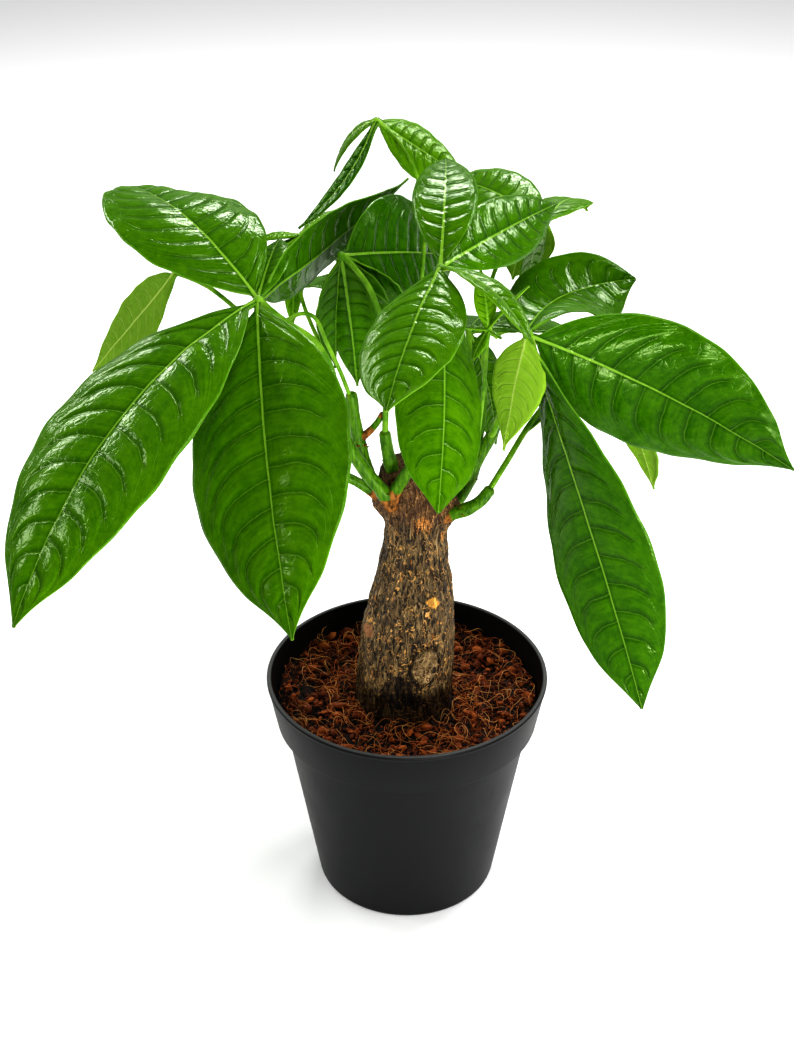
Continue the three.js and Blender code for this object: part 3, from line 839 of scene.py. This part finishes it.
# Leaves: each is a slender stalk with a fan of glossy leaflets at its end. A leaflet is a thin
# blade, quilted between its side veins, with a pale midrib, and paler and duller beneath.
Leaflet = namedtuple(
    "Leaflet",
    "heading rise droop swing length width roll twist fold widest fresh turned",
    defaults=(6, 0.46, 0.15, False),
)
Leaf = namedtuple("Leaf", "stalk leaflets")
leaves = {
    "leaf_left": Leaf(
        [(-25.6, -15, 226), (-27, -17, 240), (-29, -21, 257), (-35, -26, 271)]
        + [(-45, -31, 281), (-54, -35, 291)],
        [
            Leaflet(128, 30, 47, -6, 107, 54, 12, -24, 6, 0.48, 0.2),
            Leaflet(-135, -7, 45, 17, 151, 62, -1, -7, 6, 0.49, 0.22),
            Leaflet(-87, -24, 13, 10, 135, 63, -26, -11, 6, 0.47, 0.24),
            Leaflet(64, 0, -13, -9, 108, 28, 84, -12, 20, 0.38, 0.1, True),
            Leaflet(82, 24, 30, 0, 44, 15, 10, 0),
        ],
    ),
    "leaf_left_rear": Leaf(
        [(-20.5, 0.6, 217), (-27, 5, 226), (-40, 8, 240), (-58, 12, 258), (-76, 15, 274), (-89, 15, 281)],
        [
            Leaflet(145, -49, -2, -1, 76, 30, 51, 12, fresh=0.2, turned=True),
            Leaflet(131, 38, 54, 0, 46, 17, 0, 0),
            Leaflet(92, 14, 34, 0, 62, 25, 0, 0),
            Leaflet(42, 6, 30, 0, 54, 21, 0, 0),
        ],
    ),
    "leaf_hanging": Leaf(
        [(-9, -5.6, 220), (-8.5, -5.2, 240), (-9, -4.5, 262)]
        + [(-14, -4, 281), (-21, -4.5, 292), (-25, -5, 296)],
        [
            Leaflet(105, -62, 26, -3, 55, 20, 50, -1, 33, fresh=0.1, turned=True),
            Leaflet(78, -66, 14, -7, 66, 22, 10, 0, 28, fresh=0.15, turned=True),
            Leaflet(63, -50, 17, -5, 55, 20, 0, 0, 23, fresh=0.15, turned=True),
            Leaflet(56, -30, 25, -1, 54, 20, -10, 0, 18, fresh=0.1, turned=True),
            Leaflet(51, -14, 11, 13, 91, 46, -66, -6, fresh=0),
        ],
    ),
    "leaf_front": Leaf(
        [(0.6, -15.8, 210.5), (5, -21, 230), (9, -29, 260), (11, -38, 289), (11, -45, 308)],
        [
            Leaflet(86, 28, 40, 3, 83, 24, 4, -3, 6, 0.47, 0.2),
            Leaflet(-106, -6, 12, 5, 81, 36, -6, -12, 2, 0.51, 0.3),
            Leaflet(53, 3, 12, 10, 88, 25, -44, -11, fresh=0.15),
            Leaflet(-54, 16, 49, -7, 57, 14, 15, 3, 18, fresh=0.45),
            Leaflet(-86, -38, 13, -11, 89, 37, 48, -20, 2, 0.54, 0.3),
        ],
    ),
    "leaf_right": Leaf(
        [(33, 6.8, 213), (37, 0, 229), (41, -12, 252), (44, -25, 273)],
        [
            Leaflet(17, -27, 1, -38, 119, 55, -84, -20, 4, 0.48, 0.02),
            Leaflet(82, -1, 5, -57, 83, 40, 35, -90, 11, 0.53, 0.15),
            Leaflet(-55, -57, 15, 23, 152, 46, -112, 49, 4, 0.52, 0),
            Leaflet(-131, -68, 7, 11, 44.5, 27, -4, -22, 6, 0.39, 0.8, True),
            Leaflet(60, -22, 26, 0, 50, 20, 0, 0),
        ],
    ),
    "leaf_right_rear": Leaf(
        [(28.6, 7.2, 205), (31, 14, 225), (30, 22, 250), (34, 29, 275), (44, 33, 289), (54, 34, 294)],
        [
            Leaflet(126, 9, 25, -8, 69, 30, 7, 25, 6, 0.5, 0.3),
            Leaflet(69, 11, 52, -3, 60, 20, 1, 2, 6, 0.42, 0.4),
            Leaflet(127, -57, 37, -6, 42, 14, 14, -2, 7, 0.42, 0.5, True),
            Leaflet(111, -27, 43, -7, 51, 24, -27, -18, fresh=0.4),
        ],
    ),
    "leaf_top": Leaf(
        [(-1.8, 11.8, 219.5), (2, 16, 250), (6, 23, 284), (5, 31, 308), (-3, 35, 325), (-12, 36, 334)],
        [
            Leaflet(16, -38, -4, -1, 44, 25, -35, -8, 2, 0.48, 0.4),
            Leaflet(200, -68, -31, -13, 52, 9, 21, -5, 18, fresh=0),
            Leaflet(144, -24, 51, 2, 33, 7, 37, 5, fresh=0.4),
        ],
    ),
    "leaf_young_left": Leaf(
        [(-20.4, 0.4, 222), (-27, 4, 235), (-34, 10, 252), (-41, 17, 268), (-43, 25, 280), (-42, 32, 289)],
        [
            Leaflet(35, 40, 40, 0, 20, 7, 0, 0, fresh=0.5),
            Leaflet(200, 20, 40, 0, 18, 7, 0, 0, fresh=0.5),
            Leaflet(232, -6, 30, 0, 24, 9, 0, 0, fresh=0.5),
            Leaflet(-103, -50, 30, 0, 36, 9, 40, 0, fresh=0.4),
        ],
    ),
    "leaf_young_low": Leaf(
        [(-22, -1.2, 234), (-26, -3, 247), (-31, -6, 261), (-35, -10, 273)]
        + [(-40, -15, 277), (-46, -20, 276)],
        [
            Leaflet(123, -30, 25, 0, 33, 13, 0, 0, fresh=0.4),
            Leaflet(160, -60, 10, 0, 28, 12, 0, 0, fresh=0.4),
        ],
    ),
    "leaf_long_stalk": Leaf(
        [(31.8, -7.4, 196), (40, 0, 207), (49, 8, 219), (60, 17, 228), (74, 25, 229)],
        [
            Leaflet(34, -40, 35, 0, 75, 26, 0, 0, fresh=0.35),
            Leaflet(212, -10, 30, 0, 36, 14, -30, 0, fresh=0.6),
            Leaflet(52, -2, 45, 0, 82, 28, 0, 0),
            Leaflet(84, 6, 50, 0, 92, 34, 0, 0),
        ],
    ),
    "leaf_young_right": Leaf(
        [(25.4, 4.4, 198), (27, -2, 212), (29, -8, 240), (30, -12, 269)],
        [
            Leaflet(190, 25, 30, 0, 11, 4, 0, 0, fresh=0.4),
            Leaflet(220, -40, 30, 0, 13, 6, 0, 0, fresh=0.4),
            Leaflet(110, 76, 20, 0, 23, 9, 0, 0, fresh=0.7),
            Leaflet(-10, 62, 20, 0, 24, 6, 0, 0, fresh=0.6),
            Leaflet(-15, -20, 20, 0, 6, 3, 0, 0, fresh=0.5),
        ],
    ),
    "leaf_back_left": Leaf(
        [(0, 10.6, 212), (-3, 18, 224), (-7, 32, 245), (-9, 45, 261)],
        [
            Leaflet(100, 12, 45, 0, 92, 34, 0, 0),
            Leaflet(128, -2, 35, 0, 76, 28, 0, 0),
            Leaflet(68, 20, 45, 0, 84, 30, 0, 0),
        ],
    ),
    "leaf_back_right": Leaf(
        [(26.4, 7, 200), (26, 15, 215), (26, 28, 231), (25, 40, 244)],
        [
            Leaflet(78, -6, 40, 0, 86, 32, 0, 0),
            Leaflet(42, 2, 40, 0, 72, 27, 0, 0),
            Leaflet(-10, -66, 20, 0, 52, 24, -30, 0, fresh=0.3),
        ],
    ),
    "leaf_back_low": Leaf(
        [(-17.8, 1, 208), (-26, 11, 218), (-38, 24, 229), (-50, 35, 235)],
        [
            Leaflet(166, 2, 30, 0, 84, 30, 0, 0),
            Leaflet(112, -8, 50, 0, 94, 34, 0, 0),
        ],
    ),
}
young_leaves = ["leaf_top", "leaf_young_left", "leaf_young_low", "leaf_young_right"]
blade_curl = math.radians(21)
blade_thickness = 0.55
base_thickness = 1.9
vein_stagger = 0.4
rib_line = 40


def past_base(along):
    """How much of the blade is passed. It starts a little way along the midrib."""
    return (along - 0.03) / 0.97


def half_width(leaflet, along):
    share = min(1, max(0, past_base(along)))
    swell = (share / leaflet.widest) ** 0.9
    fall = 0.9 * (1 - leaflet.widest) / leaflet.widest
    taper = ((1 - share) / (1 - leaflet.widest)) ** fall
    drip_tip = 1 - 0.35 * smooth_rise(share, 0.84, 1)
    return leaflet.width / 2 * swell * taper * drip_tip


def midrib_frames(hub, leaflet, stations):
    """The middle, the sideways and the upward direction at each station of the midrib."""
    middle = Vector(hub)
    step = leaflet.length / stations
    frames = []

    def forward_at(along):
        heading = math.radians(leaflet.heading + leaflet.swing * along)
        pitch = math.radians(leaflet.rise - leaflet.droop * along)
        flat = math.cos(pitch)
        return Vector((math.cos(heading) * flat, math.sin(heading) * flat, math.sin(pitch)))

    for i in range(stations + 1):
        along = i / stations
        forward = forward_at(along)
        heading = math.radians(leaflet.heading + leaflet.swing * along)
        right = Vector((math.sin(heading), -math.cos(heading), 0))
        turn = math.radians(leaflet.roll + leaflet.twist * along)
        side = right * math.cos(turn) + right.cross(forward) * math.sin(turn)
        frames.append((middle.copy(), side, side.cross(forward)))
        middle += forward_at(along + 0.5 / stations) * step
    return frames


def vein_phase(leaflet, along, across):
    """Counts the side veins passed from the base: whole numbers lie on a vein."""
    pairs = round(7.5 + leaflet.length / 30)
    slim = leaflet.width / leaflet.length
    sweep = 0.1 * slim * abs(across) + 0.4 * slim * abs(across) ** 4
    return pairs * (past_base(along) - sweep) + 0.35


def quilting(leaflet, along, across, phase):
    """How far the blade stands up between its side veins."""
    pillow = math.sin(math.pi * (phase % 1))
    loop = 0.7 + 0.17 * pillow
    inner = smooth_rise(abs(across), -0.1, 0.36)
    outer = 1 - smooth_rise(abs(across), loop - 0.16, loop + 0.06)
    ends = smooth_rise(along, 0.05, 0.14) * (1 - smooth_rise(along, 0.88, 0.98))
    height = 0.12 + 0.0095 * leaflet.width
    return height * pillow**0.6 * inner * outer * ends


def grow_blade(bm, hub, leaflet, seed):
    """A flat slab of cells is curved along the midrib, folded, curled and quilted."""
    vein_map = bm.loops.layers.uv["veins"]
    blade_map = bm.loops.layers.uv["blade"]
    beneath = bm.verts.layers.float["beneath"]
    freshness = bm.verts.layers.float["fresh"]
    slender = bm.verts.layers.float["slender"]
    stations = max(12, round(leaflet.length / 1.2))
    cells = 2 * max(4, round(leaflet.width / 2.3))
    flat = bmesh.ops.create_grid(bm, x_segments=stations, y_segments=cells, size=1)
    lower_faces = list(dict.fromkeys(face for vertex in flat["verts"] for face in vertex.link_faces))
    raised = bmesh.ops.extrude_face_region(bm, geom=lower_faces)["geom"]
    top = [item for item in raised if isinstance(item, bmesh.types.BMVert)]
    bmesh.ops.translate(bm, vec=(0, 0, 1), verts=top)
    slab = flat["verts"] + top
    slab_faces = {face for vertex in slab for face in vertex.link_faces}
    frames = midrib_frames(hub, leaflet, stations)
    marks = {}
    for i in range(stations + 1):
        along = i / stations
        half = max(half_width(leaflet, along), 1.1 - 0.6 * along)
        for j in range(cells + 1):
            even = 2 * j / cells - 1
            across = even * (0.72 + 0.28 * abs(even))
            marks[i, j] = (along, across, half, vein_phase(leaflet, along, across))

    def mark_of(vertex):
        i = round((vertex.co.x + 1) / 2 * stations)
        return marks[i, round((vertex.co.y + 1) / 2 * cells)]

    for face in slab_faces:
        left = face.verts[0].co.y + face.verts[2].co.y < 0
        for loop in face.loops:
            along, across, half, phase = mark_of(loop.vert)
            loop[vein_map].uv = (phase + vein_stagger * left, across)
            loop[blade_map].uv = (along * leaflet.length + seed * 60, across * half + rib_line)
    for vertex in slab:
        level = vertex.co.z
        along, across, half, phase = mark_of(vertex)
        middle, side, up = frames[round(along * stations)]
        fold = math.radians(leaflet.fold) * smooth_rise(along, 0, 0.1)
        bend = fold - blade_curl * abs(across)
        way = (across > 0) - (across < 0)
        sideways = way * half * (math.sin(fold) - math.sin(bend)) / blade_curl
        wave = 0.012 * half * across**2 * math.sin(20 * along + 2 * way)
        ripple = 0.014 * half * abs(across) ** 3 * math.sin(43 * along + 3 * way + seed)
        height = half * (math.cos(bend) - math.cos(fold)) / blade_curl + wave + ripple
        thick = base_thickness + (blade_thickness - base_thickness) * smooth_rise(along, 0, 0.16)
        lift = thick * (level - 0.5)
        spot = Vector((along * leaflet.length, across * half, seed * 9))
        crumple = noise.noise(spot * 0.06) * 0.5 + noise.noise(spot * 0.25) * 0.06
        lift += crumple * smooth_rise(along, 0.05, 0.2) * (1 - smooth_rise(along, 0.85, 1))
        passed = phase + vein_stagger * (way < 0)
        uneven = 0.75 + 0.7 * noise.noise(Vector((math.floor(passed) * 3.7, seed * 5.1, way * 2.3)))
        pillow = uneven * quilting(leaflet, along, across, passed)
        lift += -pillow if leaflet.turned else pillow
        rib = max(0.25, leaflet.length / 150) * (1 - 0.75 * along)
        off_rib = abs(sideways)
        groove = 0.3 * math.exp(-((off_rib / 0.5) ** 2))
        groove -= 0.18 * math.exp(-((off_rib / 1.7) ** 2))
        ridge = 0.8 * math.exp(-((off_rib / 0.9) ** 2))
        if level > 0.5:
            lift += rib * (ridge if leaflet.turned else groove)
        else:
            lift -= rib * (groove if leaflet.turned else ridge)
        normal = up * math.cos(bend) - side * way * math.sin(bend)
        vertex.co = middle + side * sideways + up * height + normal * lift
        vertex[beneath] = level if leaflet.turned else 1 - level
        vertex[freshness] = leaflet.fresh
        vertex[slender] = 1 - along


def leaf_finish(name, mature_dark, mature_light, fresh_dark, fresh_light):
    material, start = new_finish(name)
    veins = start.node("ShaderNodeUVMap", {"uv_map": "veins"})
    blade = start.node("ShaderNodeUVMap", {"uv_map": "blade"})
    beneath = carried(start, "beneath")
    fresh = carried(start, "fresh")
    slender = carried(start, "slender")
    slanting = start.node("ShaderNodeLayerWeight", {}, {"Blend": 0.5}, out=1)
    phase = veins.part(0)
    across = veins.part(1)
    off_rib = abs(blade.part(1) - rib_line)
    out = abs(across)
    wobble = (grain(start, blade, 0.16, 2) - 0.5) * 0.16
    share = start.math("FRACT", phase + wobble)
    to_vein = start.math("MINIMUM", share, 1 - share)
    pillow = start.math("SINE", share * math.pi)
    loop = 0.68 + pillow * 0.17
    inside = 1 - (out - loop).rising(-0.02, 0.03)
    side_vein = (1 - to_vein.rising(0.01, 0.04)) * inside
    vein_shade = (share.rising(0.72, 0.97) + (1 - share.rising(0.03, 0.14)) * 0.6) * inside
    loop_vein = out.line(loop, 0.005, 0.02) * 0.5
    half_vein = share.line(0.5, 0.005, 0.03) * (1 - out.rising(0.2, 0.5)) * 0.35
    cells = {"Vector": blade, "Scale": 0.3}
    net = start.node("ShaderNodeTexVoronoi", {"feature": "DISTANCE_TO_EDGE"}, cells)
    net_vein = (1 - net.rising(0.0, 0.1)) * 0.3
    small_veins = start.math("MAXIMUM", start.math("MAXIMUM", loop_vein, half_vein), net_vein)
    midrib = 1 - (off_rib - slender * 0.42).rising(0.02, 0.3)
    rib_shade = 1 - (off_rib - slender * 0.42).rising(0.4, 1.9)
    margin = out.rising(0.965, 0.995)
    patchy = grain(start, blade, 0.045, 3, 0.6)
    crinkle = grain(start, blade, 0.28, 4, 0.6, 0.4)
    streak_place = start.node("ShaderNodeMapping", {}, {"Vector": veins, "Scale": (6.5, 2.4, 1)})
    streaks = grain(start, streak_place, 1, 2, 0.5, 0.3)
    light = (patchy * 0.3 + crinkle * 0.4 + streaks * 0.3).rising(0.28, 0.72)
    mature = light.between(mature_dark, mature_light)
    young = light.between(fresh_dark, fresh_light)
    pale_vein = fresh.between(dye(104, 158, 40), dye(160, 200, 80))
    dark_groove = fresh.between(dye(14, 50, 0), dye(60, 116, 6))
    upper = painted(
        fresh.between(mature, young),
        (vein_shade * 0.6, dark_groove),
        (rib_shade * 0.4, dark_groove),
        (small_veins * 0.16, pale_vein),
        (side_vein * 0.32, pale_vein),
        (margin * 0.45, dye(112, 166, 60)),
        (midrib * (0.4 + slender * 0.45), dye(140, 186, 66)),
    )
    under = painted(
        light.between(dye(92, 134, 30), dye(116, 156, 42)),
        (fresh, light.between(dye(134, 176, 48), dye(156, 196, 68))),
        (small_veins * 0.4, dye(156, 188, 84)),
        (side_vein * 0.7, dye(172, 200, 100)),
        (midrib * 0.9, dye(184, 208, 112)),
    )
    dullness = 0.13 + beneath * 0.7 + crinkle * 0.07 + slanting.rising(0.6, 0.92) * 0.45
    height = streaks * 0.26 + crinkle * 0.1 - side_vein * 0.45 - small_veins * 0.16
    height = height + net.rising(0, 0.35) * 0.08 - vein_shade * 0.5
    feed(start, {
        "Base Color": beneath.between(upper, under),
        "Roughness": dullness,
        "Normal": relief(start, height, 0.7, 0.6),
        "IOR": 1.46,
        "Specular IOR Level": 0.2,
        "Specular Tint": (0.75, 1, 0.42, 1),
    })
    return material


leaf_green = leaf_finish(
    "leaf_green", dye(36, 80, 1), dye(70, 116, 4), dye(88, 140, 8), dye(122, 172, 20)
)
young_leaf_green = leaf_finish(
    "young_leaf_green", dye(42, 90, 3), dye(70, 120, 7), dye(100, 154, 6), dye(138, 188, 24)
)
stalk_green, start = new_finish("stalk_green")
place = in_millimetres(start)
stalk_mottle = grain(start, place, 0.12, 4, 0.6)
feed(start, {
    "Base Color": stalk_mottle.rising(0.3, 0.7).between(dye(74, 124, 16), dye(130, 174, 52)),
    "Roughness": 0.36 + stalk_mottle * 0.15,
    "Specular IOR Level": 0.3,
    "Specular Tint": (0.8, 1, 0.55, 1),
    "Normal": relief(start, grain(start, place, 0.8, 3), 0.2, 0.4),
})


def stalk_radius(leaf):
    longest = max(leaflet.length for leaflet in leaf.leaflets)
    return min(1.35, max(0.75, longest / 85))


for number, (name, leaf) in enumerate(leaves.items()):
    bm = bmesh.new()
    for layer in ("veins", "blade"):
        bm.loops.layers.uv.new(layer)
    for layer in ("beneath", "fresh", "slender"):
        bm.verts.layers.float.new(layer)
    hub = leaf.stalk[-1]
    radius = stalk_radius(leaf)
    line = smooth_line(leaf.stalk, 40)
    radii = tapered(line, radius * 1.15, radius)
    last = len(line) - 1
    for i in range(len(line)):
        radii[i] *= 1 + 0.35 * math.exp(-(((last - i) / 2) ** 2))
    grow_stem(bm, line, radii, 12)
    lay = Matrix.Translation(hub)
    bmesh.ops.create_icosphere(bm, subdivisions=3, radius=radius * 1.5, matrix=lay)
    for face in bm.faces:
        face.material_index = 1
    for i, leaflet in enumerate(leaf.leaflets):
        grow_blade(bm, hub, leaflet, number * 5 + i)
    bmesh.ops.recalc_face_normals(bm, faces=bm.faces)
    young = name in young_leaves
    piece = make_piece(name + "_blades", bm, young_leaf_green if young else leaf_green, stalk_green)
    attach(piece, "root")
    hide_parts(name)


# Studio: a plain white floor, one broad soft light high up, five small low lights that shine
# in the leaves, and the camera looking down on the front of the pot.
floor_reach = 9000
floor_bm = bmesh.new()
bmesh.ops.create_grid(floor_bm, x_segments=1, y_segments=1, size=floor_reach)
floor_white, start = new_finish("floor_white")
cloud = grain(start, start.node("ShaderNodeTexCoord", out=3), 2, 2)
feed(start, {
    "Base Color": cloud.between(dye(238, 238, 238), dye(242, 242, 242)),
    "Roughness": 0.8,
    "Specular IOR Level": 0.1,
    "Emission Color": (1, 1, 1, 1),
    "Emission Strength": 0.12,
})
floor = make_piece("studio_floor", floor_bm, floor_white)


def soft_light(name, place, target, width, depth, power):
    lamp = bpy.data.lights.new(name, "AREA")
    lamp.shape = "RECTANGLE"
    lamp.size = width
    lamp.size_y = depth
    lamp.energy = power
    holder = bpy.data.objects.new(name, lamp)
    holder.location = place
    facing = Vector(target) - Vector(place)
    holder.rotation_euler = facing.to_track_quat("-Z", "Y").to_euler()
    bpy.context.scene.collection.objects.link(holder)


plant_middle = (0, 0, 0.26)
soft_light("high_light", (0.75, -0.75, 3), plant_middle, 1.3, 1.3, 52)
soft_light("rear_light", (0.08, 0.95, 0.9), plant_middle, 0.42, 0.18, 4.2)
soft_light("left_rear_light", (-0.74, 0.66, 0.72), plant_middle, 0.6, 0.12, 3.6)
soft_light("left_light", (-0.98, 0.13, 0.68), plant_middle, 0.3, 0.16, 1.9)
soft_light("right_light", (0.74, 0.62, 0.79), plant_middle, 0.4, 0.18, 4)
soft_light("front_light", (0.42, -1.15, 0.1), (0, 0, 0.22), 0.5, 0.16, 9.5)

world = bpy.data.worlds.new("studio_white")
world.use_nodes = True
sky = world.node_tree.nodes["Background"].inputs
sky["Color"].default_value = (1, 1, 1, 1)
sky["Strength"].default_value = 0.16
scene = bpy.context.scene
scene.world = world
scene.view_settings.view_transform = "Standard"
scene.view_settings.look = "High Contrast"

camera_data = bpy.data.cameras.new("camera")
camera_data.sensor_width = 36
camera_data.lens = 61.19
camera = bpy.data.objects.new("camera", camera_data)
camera.location = (-0.00425, -0.6302, 0.552)
camera.rotation_euler = (math.radians(59.08), 0, 0)
scene.collection.objects.link(camera)
scene.camera = camera
